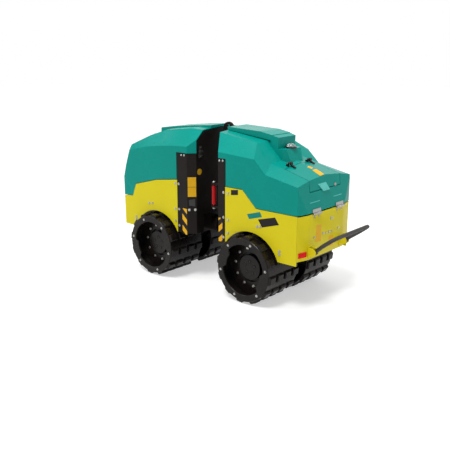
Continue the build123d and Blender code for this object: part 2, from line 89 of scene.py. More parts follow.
def newMaterial(name, hexColour, sockets):
    material = bpy.data.materials.new(name)
    material.use_nodes = True
    tree = material.node_tree
    shader = tree.nodes["Principled BSDF"]
    shader.inputs["Base Color"].default_value = toLinear(hexColour)
    for key, value in sockets.items():
        shader.inputs[key].default_value = value
    return material, tree, shader


coat = {"patchDetail": 5.0, "patchRoughness": 0.6, "driftFrom": 0.4, "dullFrom": 0.3, "patchTo": 0.8,
        "glossier": 0.05, "duller": 0.1, "grainDetail": 3.0, "grainDepth": 0.001}


# Sprayed, moulded or rolled surface: colour that drifts a little over a hand's width, gloss that
# dulls in the same patches, and a fine peel or grain in the surface
def coatedSurface(name, look):
    sockets = {"Metallic": look.get("metallic", 0.0), "Specular IOR Level": look.get("sheen", 0.5)}
    material, tree, shader = newMaterial(name, look["colour"], sockets)
    place = addNode(tree, "ShaderNodeTexCoord").outputs["Object"]
    patches = addNode(tree, "ShaderNodeTexNoise",
                      {"Scale": 1000 / look["patchMm"], "Detail": coat["patchDetail"],
                       "Roughness": coat["patchRoughness"]}, {"Vector": place}).outputs["Fac"]
    share = addNode(tree, "ShaderNodeMapRange",
                    {"From Min": coat["driftFrom"], "From Max": coat["patchTo"], "To Max": look["drift"]},
                    {"Value": patches})
    colourBetween(tree, shader, share.outputs["Result"], look["colour"], look["worn"])
    dull = addNode(tree, "ShaderNodeMapRange",
                   {"From Min": coat["dullFrom"], "From Max": coat["patchTo"],
                    "To Min": look["roughness"] - coat["glossier"], "To Max": look["roughness"] + coat["duller"]},
                   {"Value": patches})
    tree.links.new(dull.outputs["Result"], shader.inputs["Roughness"])
    grain = addNode(tree, "ShaderNodeTexNoise", {"Scale": 1000 / look["grainMm"], "Detail": coat["grainDetail"]},
                    {"Vector": place})
    bumped(tree, shader, grain.outputs["Fac"], look["grain"], coat["grainDepth"])
    return material, tree, shader, place


# Blank safety stripes: slanted bars half a pitch wide, from slant * x + z of the piece
def stripedFoil(name, look):
    material, tree, shader, place = coatedSurface(name, look)
    axes = addNode(tree, "ShaderNodeSeparateXYZ", None, {"Vector": place})
    lean = worked(tree, "MULTIPLY", axes.outputs["X"], look["slant"])
    run = worked(tree, "ADD", lean, axes.outputs["Z"])
    part = worked(tree, "FRACT", worked(tree, "MULTIPLY", run, 1000 / look["pitchMm"]))
    colourBetween(tree, shader, worked(tree, "GREATER_THAN", part, 0.5), look["colour"], look["bar"])
    return material


# Ribbed rubber: rings across the machine, which catch thin lines of light
def ribbedRubber(name, look):
    material, tree, shader, place = coatedSurface(name, look)
    scale = 2 * math.pi / (20 * look["ribMm"] / 1000)  # the wave repeats 20 times in 2 pi at a scale of 1
    ribs = addNode(tree, "ShaderNodeTexWave", {"bands_direction": "Y", "Scale": scale}, {"Vector": place})
    bumped(tree, shader, ribs.outputs["Fac"], look["ribStrength"], look["ribDepth"])
    return material


# Clear moulded dome: light goes through, the dark base shows under a bright glint
def clearDome(name, look):
    material, _, shader, _ = coatedSurface(name, look)
    shader.inputs["Transmission Weight"].default_value = look["clear"]
    shader.inputs["IOR"].default_value = look["ior"]
    return material


foilSkin = dict(roughness=0.4, sheen=0.15, patchMm=60, drift=0.4, grainMm=2, grain=0.05)
looks = {
    # greenish yellow enamel, smooth with a soft gloss
    "yellow_panel": ("yellowEnamel", dict(colour="#DCCD1A", worn="#D1C11D", roughness=0.32, sheen=0.12,
                                          patchMm=260, drift=0.35, grainMm=5, grain=0.05)),
    # deep teal moulded covers, glossier than the panels, with long soft reflections
    "teal_cover": ("tealMouldedCover", dict(colour="#058E82", worn="#089A8E", roughness=0.25, sheen=0.08,
                                            patchMm=300, drift=0.4, grainMm=4, grain=0.04)),
    # warm black enamel of the frames, half gloss
    "black_frame": ("blackEnamel", dict(colour="#1A1614", worn="#241F1C", roughness=0.36, sheen=0.1,
                                        patchMm=140, drift=0.5, grainMm=3, grain=0.1)),
    # black brown drum paint over cast and rolled steel: glossy, with a coarser grain
    "drum_steel": ("blackDrumPaint", dict(colour="#151110", worn="#241E1A", roughness=0.24, sheen=0.16,
                                          patchMm=90, drift=0.55, grainMm=5, grain=0.2)),
    # zinc plated fittings, a grey silver sparkle
    "bare_metal": ("zincPlate", dict(colour="#A9A8A4", worn="#7F7D78", roughness=0.3, metallic=1.0,
                                     patchMm=30, drift=0.5, grainMm=2, grain=0.12)),
    # hard chrome on the cylinder's rod, nearly a mirror
    "chromed_rod": ("hardChrome", dict(colour="#C8C9CB", worn="#AFB0B2", roughness=0.14, metallic=1.0,
                                       patchMm=40, drift=0.2, grainMm=2, grain=0.02)),
    # moulded dome bases and covers, a dull black with a fine grain
    "dark_plastic": ("blackMouldedPlastic", dict(colour="#1C1B1B", worn="#2A2827", roughness=0.5,
                                                 patchMm=60, drift=0.4, grainMm=1.5, grain=0.2)),
    # grey engine enamel under the hoods, dull and patchy
    "engine_grey": ("greyEngineEnamel", dict(colour="#55575A", worn="#3F4042", roughness=0.5,
                                             patchMm=120, drift=0.6, grainMm=3, grain=0.2)),
    # signal red enamel of the lock bar
    "red_enamel": ("redEnamel", dict(colour="#B8141A", worn="#9C1217", roughness=0.3, sheen=0.15,
                                     patchMm=60, drift=0.4, grainMm=4, grain=0.05)),
    # red reflector: a pressed sheet that shines through a smooth skin
    "red_reflector": ("redReflector", dict(colour="#E0000C", worn="#C4000A", roughness=0.22, sheen=0.15,
                                           patchMm=20, drift=0.5, grainMm=3, grain=0.3)),
    # black rubber of the draw latches, flat and grainy
    "latch_rubber": ("blackLatchRubber", dict(colour="#1D1B1A", worn="#2E2B28", roughness=0.58,
                                              patchMm=40, drift=0.4, grainMm=1.5, grain=0.3)),
    # foils without print: orange, teal and black, a satin skin
    "orange_foil": ("orangeFoil", dict(foilSkin, colour="#E8B21C", worn="#D9A31A", drift=0.5)),
    "teal_foil": ("tealFoil", dict(foilSkin, colour="#0F7F74", worn="#118A7E", roughness=0.38)),
    "black_foil": ("blackFoil", dict(foilSkin, colour="#1A1817", worn="#242120")),
    # a lighter teal: the flap of the hatch's latch, and a painted highlight along the ribs
    "light_teal": ("lightTealFlap", dict(colour="#5CC4BA", worn="#6BCDC4", roughness=0.3, sheen=0.15,
                                         patchMm=60, drift=0.4, grainMm=4, grain=0.04)),
    # flat black discs in the holes of the hubs, as painted shade for the holes' depth
    "recess_black": ("recessBlack", dict(colour="#0E0D0D", worn="#151413", roughness=0.7,
                                         patchMm=30, drift=0.4, grainMm=2, grain=0.1)),
}
finishes = {slot: coatedSurface(name, look)[0] for slot, (name, look) in looks.items()}
# black rubber sleeve of the stop bar, dull with thin rings of light
finishes["rubber_bar"] = ribbedRubber("ribbedBlackRubber", dict(
    colour="#221F1D", worn="#35312E", roughness=0.55, patchMm=60, drift=0.4, grainMm=2, grain=0.3,
    ribMm=9, ribStrength=0.8, ribDepth=0.002))
# clear acrylic of the two domes
finishes["clear_lens"] = clearDome("clearMouldedDome", dict(
    colour="#D5DDDD", worn="#C3CDCD", roughness=0.08, patchMm=40, drift=0.3, grainMm=20, grain=0.0,
    clear=0.85, ior=1.49))
# black foil with orange bars, which lean towards each other over the gap
stripeLook = dict(foilSkin, colour="#191716", worn="#201D1C", bar="#E9B01E", pitchMm=92)
finishes["stripesRear"] = stripedFoil("stripedFoilRear", dict(stripeLook, slant=0.9))
finishes["stripesFront"] = stripedFoil("stripedFoilFront", dict(stripeLook, slant=-0.9))

nodeSlots = {row["node"]: row["material_slot"] for row in frame["record"]["subparts"]}


def paint(mesh, finish):
    mesh.materials.clear()
    mesh.materials.append(finishes[finish])


for name, cadObject in nodes.items():
    paint(cadObject.data, nodeSlots[name])
paint(nodes["hatch_latch"].data, "light_teal")
print("materials done")

# Shapes are worked out as (points, quads, triangles)
xAxis, yAxis, zAxis = (1, 0, 0), (0, 1, 0), (0, 0, 1)


# Quads between the rows of a grid of points that closes on itself around: corner = row * around + step
def ringQuads(rows, around, loop=False):
    row = np.arange(rows if loop else rows - 1)[:, None]
    step = np.arange(around)[None, :]
    nextRow, nextStep = (row + 1) % rows, (step + 1) % around
    corners = [row * around + step, row * around + nextStep, nextRow * around + nextStep, nextRow * around + step]
    return np.stack(corners, axis=-1).reshape(-1, 4)


# Rings of points joined one to the next, with a pole at the mean of the first and the last ring
def capped(rings):
    rows, around, _ = rings.shape
    points = np.concatenate([rings.reshape(-1, 3), rings[[0, -1]].mean(axis=1)])
    step = np.arange(around)
    following = (step + 1) % around
    low = np.stack([np.full(around, rows * around), following, step], axis=1)
    last = (rows - 1) * around
    high = np.stack([np.full(around, rows * around + 1), last + step, last + following], axis=1)
    return points, ringQuads(rows, around), np.concatenate([low, high])


# Solid of revolution about Z: point = (r cos t, r sin t, h) for each row (r, h) of the profile
def turned(profile, around):
    radius, height = np.asarray(profile, float).T
    angle = np.linspace(0, 2 * math.pi, around, endpoint=False)
    rings = np.stack([radius[:, None] * np.cos(angle), radius[:, None] * np.sin(angle),
                      np.repeat(height[:, None], around, axis=1)], axis=-1)
    return capped(rings)


# Ring about Z whose closed section (r, h) may swell with the angle: point = (r cos t, r sin t, h)
def turnedRing(radius, height, angle):
    rings = np.stack([radius * np.cos(angle), radius * np.sin(angle), height * np.ones_like(angle)], axis=-1)
    return rings.reshape(-1, 3), ringQuads(rings.shape[0], rings.shape[1], loop=True), np.zeros((0, 3), int)


# Flat plate: point = origin + a * across + b * up for each (a, b) of the outline, then moved along
# across x up, back by the sink and on by the thickness
def plate(outline, origin, across, up, thickness, sink=0.0):
    across, up = np.asarray(across, float), np.asarray(up, float)
    out = np.cross(across, up)
    flat = np.asarray(outline, float)
    base = np.asarray(origin, float) + flat[:, :1] * across + flat[:, 1:] * up
    return capped(np.stack([base - out * sink, base + out * thickness]))


# The same plate on a face that looks against across x up: it starts sunk in the face and stands out of it
def foil(outline, origin, across, up, thickness, sunk=0.0001):
    return plate(outline, origin, across, up, -thickness, -sunk)


# Plate with its outline in x and z, from yLow on along +Y by its width
def slab(outline, yLow, width):
    return plate(outline, (0, yLow + width, 0), xAxis, zAxis, width)


# Turns a shape so that its +Z points along out: point = a * side + b * (out x side) + c * out
def aimed(shape, direction):
    out = np.asarray(direction, float) / np.linalg.norm(direction)
    helper = np.array([0.0, 0.0, 1.0]) if abs(out[2]) < 0.9 else np.array([1.0, 0.0, 0.0])
    side = np.cross(helper, out)
    side /= np.linalg.norm(side)
    points, quads, triangles = shape
    return points @ np.array([side, np.cross(out, side), out]), quads, triangles


# One shape set down at many places: point = place + point, and each copy's faces are shifted by its number
def copies(shape, places):
    points, quads, triangles = shape
    places = np.asarray(places, float).reshape(-1, 1, 3)
    shift = (np.arange(len(places)) * len(points))[:, None, None]
    return (places + points).reshape(-1, 3), (shift + quads).reshape(-1, 4), (shift + triangles).reshape(-1, 3)


# The shape on the other side of the machine: point = (x, -y, z)
def mirrored(shape):
    points, quads, triangles = shape
    return points * [1, -1, 1], quads, triangles


# Many shapes as one: the faces of each are shifted by the count of points before it
def joined(shapes):
    shift = np.cumsum([0] + [len(points) for points, _, _ in shapes[:-1]])
    return (np.concatenate([points for points, _, _ in shapes]),
            np.concatenate([quads + k for (_, quads, _), k in zip(shapes, shift)]),
            np.concatenate([triangles + k for (_, _, triangles), k in zip(shapes, shift)]))


# Cylinder along Y from one place to another, with a small soft edge at both ends
def rod(x, z, radius, yLow, yHigh, around=20):
    soft = min(radius * 0.2, 0.0008)
    profile = [(radius - soft, 0), (radius, soft), (radius, yHigh - yLow - soft), (radius - soft, yHigh - yLow)]
    return copies(aimed(turned(profile, around), yAxis), [(x, yLow, z)])


# Plain ring of a closed rectangular section with its corners taken off: point = (r cos t, r sin t, h)
def flatRing(inner, outer, low, high, around, soft=0.002):
    angle = np.linspace(0, 2 * math.pi, around, endpoint=False)
    section = [(outer - soft, low), (outer, low + soft), (outer, high - soft), (outer - soft, high),
               (inner + soft, high), (inner, high - soft), (inner, low + soft), (inner + soft, low)]
    radius = np.array([row[0] for row in section])[:, None] * np.ones_like(angle)
    return turnedRing(radius, np.array([row[1] for row in section])[:, None], angle)


# Hexagon head on a round washer, made along +Z with its seat at 0: (r, h) are shares of the bolt's size
def hexBolt(radius, height):
    washer = turned([(radius * 1.25, -0.001), (radius * 1.25, height * 0.22), (radius * 1.15, height * 0.28)], 18)
    head = turned([(radius * 1.05, height * 0.2), (radius * 1.05, height * 0.85), (radius * 0.9, height)], 6)
    return joined([washer, head])


# Low round head: r = radius * cos t and h = height * sin t, almost to the quarter circle's end
def roundHead(radius, height):
    turn = np.linspace(0, math.pi / 2 * 0.92, 5)
    profile = np.stack([radius * np.cos(turn), height * np.sin(turn)], axis=1)
    return turned(np.concatenate([[[radius, -0.001]], profile]), 16)


boltSizes = {"side": (0.0085, 0.006), "end": (0.0075, 0.005), "hinge": (0.0065, 0.0048),  # radius and height
             "rim": (0.008, 0.0058), "web": (0.009, 0.008), "trim": (0.0085, 0.004)}


def boltsAt(kind, direction, places):
    return copies(aimed(hexBolt(*boltSizes[kind]), direction), places)


# Gives a mesh its soft faces with sharp edges, its finish (the slot's unless another is named), bevel and body
def finishPiece(name, mesh, body, slot, finish=None, bevelMm=0.0, sharpAngle=32, limit="ANGLE"):
    mesh.shade_smooth()
    mesh.set_sharp_from_angle(angle=math.radians(sharpAngle))
    paint(mesh, finish or slot)
    piece = bpy.data.objects.new(name, mesh)
    bpy.context.collection.objects.link(piece)
    if bevelMm:
        bevel = piece.modifiers.new("softEdges", "BEVEL")
        bevel.width = bevelMm / 1000
        bevel.segments = 2 if limit == "ANGLE" else 3
        bevel.limit_method = limit
        bevel.angle_limit = math.radians(25)
        bevel.use_clamp_overlap = limit == "ANGLE"
        bevel.harden_normals = True
    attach(piece, body)
    return piece


# Turns shapes into one piece of the scene, with its normals outwards
def newPiece(name, body, slot, shapes, finish=None, bevelMm=0.0, sharpAngle=32):
    points, quads, triangles = joined(shapes)
    mesh = bpy.data.meshes.new(name)
    mesh.from_pydata(points.tolist(), [], quads.tolist() + triangles.tolist())
    shell = bmesh.new()
    shell.from_mesh(mesh)
    bmesh.ops.recalc_face_normals(shell, faces=shell.faces)
    shell.to_mesh(mesh)
    shell.free()
    return finishPiece(name, mesh, body, slot, finish, bevelMm, sharpAngle)


# Each node with its ridges' and its rims' rounding in mm
rounded = {
    "rear_frame": [("rear_side_left", 2.5, 1.2), ("rear_side_right", 2.5, 1.2), ("rear_end_plate", 4, 1.2),
                   ("rear_bulkhead", 3, 1.2), ("bar_brackets", 1.5, 1.2), ("lifting_eye", 2, 1.5),
                   ("engine_block", 12, 6)],
    "front_frame": [("front_side_left", 2.5, 1.2), ("front_side_right", 2.5, 1.2), ("front_end_plate", 4, 1.2),
                    ("front_bulkhead", 3, 1.2)],
}
rounding = {"weld": 2e-5, "flatDegrees": 3, "edgeDegrees": 9, "broad": 0.013, "long": 0.02}


# Merged copy of a CAD node: broad ridges are rounded wide, the edges of thin walls only a little
def roundedCopy(node, body, ridgeMm, rimMm):
    mesh = nodes[node].data.copy()
    mesh.name = node + "Rounded"
    shell = bmesh.new()
    shell.from_mesh(mesh)
    bmesh.ops.remove_doubles(shell, verts=shell.verts, dist=rounding["weld"])
    bmesh.ops.dissolve_limit(shell, angle_limit=math.radians(rounding["flatDegrees"]), verts=shell.verts,
                             edges=shell.edges)
    low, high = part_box(node)
    middle = (Vector(low) + Vector(high)) / 2
    weight = shell.edges.layers.float.new("bevel_weight_edge")
    breadth = {face: 2 * face.calc_area() / face.calc_perimeter() for face in shell.faces}
    for edge in shell.edges:
        if len(edge.link_faces) != 2 or edge.calc_face_angle(0.0) < math.radians(rounding["edgeDegrees"]):
            continue
        broad = min(breadth[face] for face in edge.link_faces) > rounding["broad"]
        outer = all(face.normal.dot(face.calc_center_median() - middle) > 0 for face in edge.link_faces)
        edge[weight] = 1.0 if broad and outer and edge.calc_length() > rounding["long"] else rimMm / ridgeMm
    shell.to_mesh(mesh)
    shell.free()
    piece = finishPiece(node + "Rounded", mesh, body, nodeSlots[node], bevelMm=ridgeMm, limit="WEIGHT")
    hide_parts(node)


for body, rows in rounded.items():
    for node, ridgeMm, rimMm in rows:
        roundedCopy(node, body, ridgeMm, rimMm)
print("rounded panels done")

machine = {"rearAxle": -0.37425, "frontAxle": 0.61325, "side": 0.338, "rearPlate": -0.8145, "frontPlate": 1.0445,
           "bulkhead": 0.2075}

# Drums: the shell, its rim with two lobes, the web, and rows of lugs
drumSize = {"shell": 0.241, "wall": 0.014, "inner": 0.060, "face": 0.4195, "rimThickness": 0.016,
            "rimInner": 0.190, "lobeInner": 0.158, "lobeHalf": 21, "lobeSoft": 7, "web": 0.306, "webThickness": 0.014,
            "webBore": 0.112, "webOuter": 0.229, "height": 0.260, "around": 120,
            "softBack": 0.003, "softFace": 0.004, "softRim": 0.003, "softInside": 0.002}
# lug profile from foot to top: distance from the axle, breadth around, and how far the ends draw in
lugSize = {"rows": 12, "across": 4, "gap": 0.026, "margin": 0.006, "startShare": 0.25, "bevelMm": 1.8,
           "profile": [(0.237, 0.060, 0.0), (0.245, 0.060, 0.0), (0.255, 0.051, 0.003), (0.2588, 0.044, 0.006)]}
hubSize = {"profile": [(0.088, 0.298), (0.098, 0.300), (0.098, 0.331), (0.095, 0.334)], "face": 0.334,
           "flange": [(0.122, 0.296), (0.124, 0.298), (0.124, 0.305)], "around": 72,
           "holes": 5, "holeCircle": 0.046, "holeStart": 18, "holeRadius": 0.0084}
drumBolts = {"rim": (6, 0.214, 0.4192), "web": (10, 0.146, 0.320, 6)}  # count, circle, seat, start
drumEnds = {"rear": {"axle": machine["rearAxle"], "lobe": 20, "rimBolts": -9.9},
            "front": {"axle": machine["frontAxle"], "lobe": 160, "rimBolts": 9.6}}


# From the drum's own axes to the machine's: (x, y, h) goes to (axle + x, h, height + y)
def onAxle(shape, axle):
    points, quads, triangles = shape
    placed = np.stack([axle + points[:, 0], points[:, 2], drumSize["height"] + points[:, 1]], axis=1)
    return placed, quads, triangles


# Shell: a closed section (r, h) carried round; the rim's inner edge steps in at the two lobes by
# r = inner - (inner - lobe) * s(t), where s rises softly from 0 to 1 over the lobe's angle
def drumShell(size, lobeAngle):
    angle = np.linspace(0, 2 * math.pi, size["around"], endpoint=False)
    off = np.abs((np.degrees(angle) - lobeAngle + 90) % 180 - 90)
    lobe = np.clip((size["lobeHalf"] - off) / size["lobeSoft"] + 0.5, 0, 1)
    lobe = lobe * lobe * (3 - 2 * lobe)
    rim = size["rimInner"] - (size["rimInner"] - size["lobeInner"]) * lobe
    outside, inside = size["shell"] * np.ones_like(angle), (size["shell"] - size["wall"]) * np.ones_like(angle)
    inner, face, back = size["inner"], size["face"], size["face"] - size["rimThickness"]
    rows = [(outside - size["softBack"], inner), (outside, inner + size["softBack"]),
            (outside, face - size["softFace"]), (outside - size["softFace"], face),
            (rim + size["softRim"], face), (rim, face - size["softRim"]),
            (rim, back + size["softInside"]), (rim + size["softInside"], back),
            (inside, back), (inside, inner + size["softInside"]), (inside + size["softInside"], inner)]
    radius = np.stack([row[0] for row in rows])
    height = np.array([row[1] for row in rows])[:, None]
    return turnedRing(radius, height, angle)


# Lugs: each is a block that narrows from its foot to its top; all rows and places are one array, where
# point = (u cos t - v sin t, u sin t + v cos t, h + place) for a lug's own point (u, v, h)
def drumLugs(size, lug):
    pitch = (size["face"] - size["inner"] - 2 * lug["margin"] + lug["gap"]) / lug["across"]
    width = pitch - lug["gap"]
    lift, breadth, draw = np.array(lug["profile"]).T
    half = breadth / 2
    ring = np.stack([np.stack([lift, half, draw], 1), np.stack([lift, -half, draw], 1),
                     np.stack([lift, -half, width - draw], 1), np.stack([lift, half, width - draw], 1)], axis=1)
    points, quads, triangles = capped(ring)
    turn = 2 * math.pi * (np.arange(lug["rows"]) + lug["startShare"]) / lug["rows"]
    across = size["inner"] + lug["margin"] + np.arange(lug["across"]) * pitch
    turns, places = np.meshgrid(turn, across, indexing="ij")
    cosine, sine = np.cos(turns.reshape(-1, 1)), np.sin(turns.reshape(-1, 1))
    around = np.stack([points[:, 0] * cosine - points[:, 1] * sine, points[:, 0] * sine + points[:, 1] * cosine,
                       points[:, 2] + places.reshape(-1, 1)], axis=-1)
    shift = (np.arange(len(around)) * len(points))[:, None, None]
    return around.reshape(-1, 3), (shift + quads).reshape(-1, 4), (shift + triangles).reshape(-1, 3)


# Places on a circle about the axle: place = (r cos t, r sin t, h), in the drum's own axes
def circlePlaces(count, radius, height, startDegrees):
    angle = np.radians(startDegrees) + 2 * math.pi * np.arange(count) / count
    return np.stack([radius * np.cos(angle), radius * np.sin(angle), np.full(count, height)], axis=1)


for end, drum in drumEnds.items():
    for sideName, mirror in (("left", False), ("right", True)):
        body = end + "_drum_" + sideName
        shellParts = [drumShell(drumSize, drum["lobe"]),
                      flatRing(drumSize["webBore"], drumSize["webOuter"], drumSize["web"],
                               drumSize["web"] + drumSize["webThickness"], drumSize["around"])]
        holePlaces = circlePlaces(hubSize["holes"], hubSize["holeCircle"], hubSize["face"], hubSize["holeStart"])
        eyelet = flatRing(0.0085, 0.0135, 0.0, 0.0028, 24, 0.0008)
        hubParts = [turned(hubSize["profile"], hubSize["around"]), turned(hubSize["flange"], hubSize["around"]),
                    copies(eyelet, holePlaces)]
        # Each hole of the hub is a thin flat black disc on its face: painted shade, not a cut
        holeShadeDisc = turned([(hubSize["holeRadius"], -0.001), (hubSize["holeRadius"], 0.0006)], 20)
        holes = [copies(holeShadeDisc, holePlaces)]
        bolts = [copies(hexBolt(*boltSizes["rim"]), circlePlaces(*drumBolts["rim"], drum["rimBolts"])),
                 copies(hexBolt(*boltSizes["web"]), circlePlaces(*drumBolts["web"]))]
        pieces = [("Shell", "drum_steel", None, shellParts, 0.0),
                  ("Lugs", "drum_steel", None, [drumLugs(drumSize, lugSize)], lugSize["bevelMm"]),
                  ("Hub", "drum_steel", None, hubParts, 0.0), ("Holes", "drum_steel", "recess_black", holes, 0.0),
                  ("Bolts", "bare_metal", None, bolts, 0.0)]
        for suffix, slot, finish, shapes, bevelMm in pieces:
            shape = onAxle(joined(shapes), drum["axle"])
            shape = mirrored(shape) if mirror else shape
            newPiece(end + sideName.title() + suffix, body, slot, [shape], finish, bevelMm, 40)
        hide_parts(body)
        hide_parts(end + "_hub_" + sideName)
print("drums done")

# Bolts and screws on the yellow sides and the black trims as (x, z), the same on both sides
side = machine["side"]
sideBolts = {
    "rear_frame": [(-0.166, 0.791), (-0.166, 0.589), (-0.166, 0.488), (-0.122, 0.793), (-0.122, 0.603),
                   (-0.122, 0.448), (-0.443, 0.588), (-0.470, 0.593), (-0.647, 0.442), (-0.648, 0.420)],
    "front_frame": [(0.391, 0.794), (0.391, 0.588), (0.391, 0.489), (0.351, 0.795), (0.351, 0.590), (0.351, 0.455),
                    (0.704, 0.586), (0.667, 0.592), (0.877, 0.441), (0.878, 0.418)],
}
trimScrews = {"rear_frame": [(-0.080, 1.027), (-0.113, 1.029)], "front_frame": [(0.319, 1.027), (0.288, 1.028)]}
# End plates' bolts as (y, z)
endBolts = {
    "rear_frame": (machine["rearPlate"], -1, [(0.046, 0.546), (0.008, 0.543), (-0.031, 0.540), (-0.068, 0.536),
                                              (-0.157, 0.546), (0.158, 0.538)]),
    "front_frame": (machine["frontPlate"], 1, [(0.158, 0.538), (-0.158, 0.538)]),
}
for body in ("rear_frame", "front_frame"):
    left = boltsAt("side", yAxis, [(x, side, z) for x, z in sideBolts[body]])
    screws = copies(aimed(roundHead(*boltSizes["trim"]), yAxis), [(x, side, z) for x, z in trimScrews[body]])
    plateX, facing, rows = endBolts[body]
    onEnd = boltsAt("end", (facing, 0, 0), [(plateX, y, z) for y, z in rows])
    newPiece(body.split("_")[0] + "FrameBolts", body, "bare_metal",
             [left, mirrored(left), screws, mirrored(screws), onEnd])

# Hood hinges: a barrel in thirds on a pin, a low leaf on the frame and a taller one on the hood
hingeSize = {"radius": 0.0078, "pin": 0.004, "pinOver": 0.002, "leaf": 0.0035, "frameLeaf": 0.013, "hoodLeaf": 0.031,
             "width": 0.101, "starts": (0.0865, -0.2125), "axisOut": 0.010, "leafGap": 0.003, "barrelGap": 0.001,
             "boltIn": 0.022, "boltBelow": 0.026}
# plate, the way it faces, the axis' height and the hood's lean
hinges = {"rear": (machine["rearPlate"], -1, 0.7125, 0.136), "front": (machine["frontPlate"], 1, 0.6085, -0.05)}
for end, (plateX, facing, axisZ, lean) in hinges.items():
    size = hingeSize
    axisX = plateX + facing * size["axisOut"]
    front = plateX + facing * size["leaf"]
    width, third = size["width"], size["width"] / 3
    frameTop, frameFoot = axisZ - size["leafGap"], axisZ - size["frameLeaf"]
    hoodFoot, hoodTop = axisZ + size["leafGap"], axisZ + size["hoodLeaf"]
    step = -facing * lean * size["hoodLeaf"]
    frameLeaf = [(plateX, frameTop), (front, frameTop), (front, frameFoot), (plateX, frameFoot)]
    hoodLeaf = [(plateX, hoodFoot), (front, hoodFoot), (front + step, hoodTop), (plateX + step, hoodTop)]
    fixedParts, movingParts, places = [], [], []
    for start in size["starts"]:
        fixedParts += [rod(axisX, axisZ, size["radius"], low, low + third) for low in (start, start + 2 * third)]
        fixedParts.append(rod(axisX, axisZ, size["pin"], start - size["pinOver"], start + width + size["pinOver"]))
        fixedParts.append(slab(frameLeaf, start, width))
        movingParts.append(rod(axisX, axisZ, size["radius"], start + third + size["barrelGap"],
                               start + 2 * third - size["barrelGap"]))
        movingParts.append(slab(hoodLeaf, start, width))
        places += [(plateX, y, axisZ - size["boltBelow"])
                   for y in (start + size["boltIn"], start + width - size["boltIn"])]
    fixedPiece = newPiece(end + "HingeFixed", end + "_frame", "bare_metal",
                          fixedParts + [boltsAt("hinge", (facing, 0, 0), places)])
    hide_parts(end + "_hood_hinges")
    movingPiece = newPiece(end + "HingeMoving", end + "_hood", "bare_metal", movingParts)
    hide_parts(end + "_hinge_leaves")

# Hatch hinges: black ears and a slim arm on the hinge's own axis, with silver pin ends; outlines as
# (x from the axis, z)
hatchHinge = {"x": -0.5625, "z": 1.036, "middles": (0.120, -0.120), "half": 0.027, "earWidth": 0.010,
              "armWidth": 0.016, "pin": 0.0042, "pinOver": 0.006,
              "ear": [(-0.007, 1.012), (0.018, 1.016), (0.016, 1.024), (0.007, 1.039), (0.0, 1.043), (-0.007, 1.039)],
              "arm": [(-0.050, 1.002), (-0.050, 1.008), (-0.022, 1.022), (-0.007, 1.039), (0.0, 1.043),
                      (0.006, 1.036), (-0.004, 1.029), (-0.018, 1.012)]}
axisX, half, earWidth, armWidth = (hatchHinge[key] for key in ("x", "half", "earWidth", "armWidth"))
earOutline = [(axisX + x, z) for x, z in hatchHinge["ear"]]
armOutline = [(axisX + x, z) for x, z in hatchHinge["arm"]]
earParts, armParts, pinParts = [], [], []
for middle in hatchHinge["middles"]:
    earParts += [slab(earOutline, y, earWidth) for y in (middle - half, middle + half - earWidth)]
    armParts.append(slab(armOutline, middle - armWidth / 2, armWidth))
    reach = half + hatchHinge["pinOver"]
    pinParts.append(rod(axisX, hatchHinge["z"], hatchHinge["pin"], middle - reach, middle + reach))
ears = newPiece("hatchHingeEars", "rear_hood", "black_frame", earParts, bevelMm=0.8)
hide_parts("hatch_hinge_blocks")
arms = newPiece("hatchHingeArms", "hatch", "black_frame", armParts, bevelMm=0.8)
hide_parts("hatch_hinge_arms")
newPiece("hatchHingePins", "rear_hood", "bare_metal", pinParts)
print("bolts done")

# Blank foils and plates of the left side, as outlines in (x, z)
blankPlates = [
    ("handSignPlate", "rear_frame", "yellow_panel", "black_foil",
     [(-0.195, 0.784), (-0.195, 0.822), (-0.262, 0.831), (-0.262, 0.794)]),
    ("tealPlate", "rear_frame", "yellow_panel", "teal_foil",
     [(-0.368, 0.631), (-0.349, 0.665), (-0.468, 0.700), (-0.487, 0.666)]),
    ("blackPlate", "rear_frame", "yellow_panel", "black_foil",
     [(-0.488, 0.589), (-0.451, 0.642), (-0.602, 0.682), (-0.638, 0.634)]),
    ("stripesRear", "rear_frame", "black_frame", "stripesRear",
     [(-0.072, 0.408), (-0.072, 0.592), (-0.110, 0.592), (-0.110, 0.408)]),
    ("stripesFront", "front_frame", "black_frame", "stripesFront",
     [(0.316, 0.392), (0.316, 0.604), (0.266, 0.604), (0.266, 0.392)]),
]
for name, body, slot, finish, outline in blankPlates:
    newPiece(name, body, slot, [foil(outline, (0, side, 0), xAxis, zAxis, 0.0006)], finish)

# Rear plate: two blank orange plates as outlines in (y, z), and a round lock
plateX = machine["rearPlate"]
orangeRear = [foil(outline, (plateX, 0, 0), yAxis, zAxis, 0.0012) for outline in (
    [(0.070, 0.495), (0.138, 0.500), (0.138, 0.624), (0.072, 0.619)],
    [(-0.096, 0.427), (-0.034, 0.431), (-0.034, 0.510), (-0.093, 0.508)])]
newPiece("orangePlatesRear", "rear_frame", "yellow_panel", orangeRear, "orange_foil")
lockProfile = [(0.013, -0.001), (0.013, 0.004), (0.011, 0.006), (0.006, 0.006), (0.006, 0.0045)]
lockBody = aimed(turned(lockProfile, 24), (-1, 0, 0))
newPiece("rearPlateLock", "rear_frame", "bare_metal", [copies(lockBody, [(plateX, -0.060, 0.640)])])

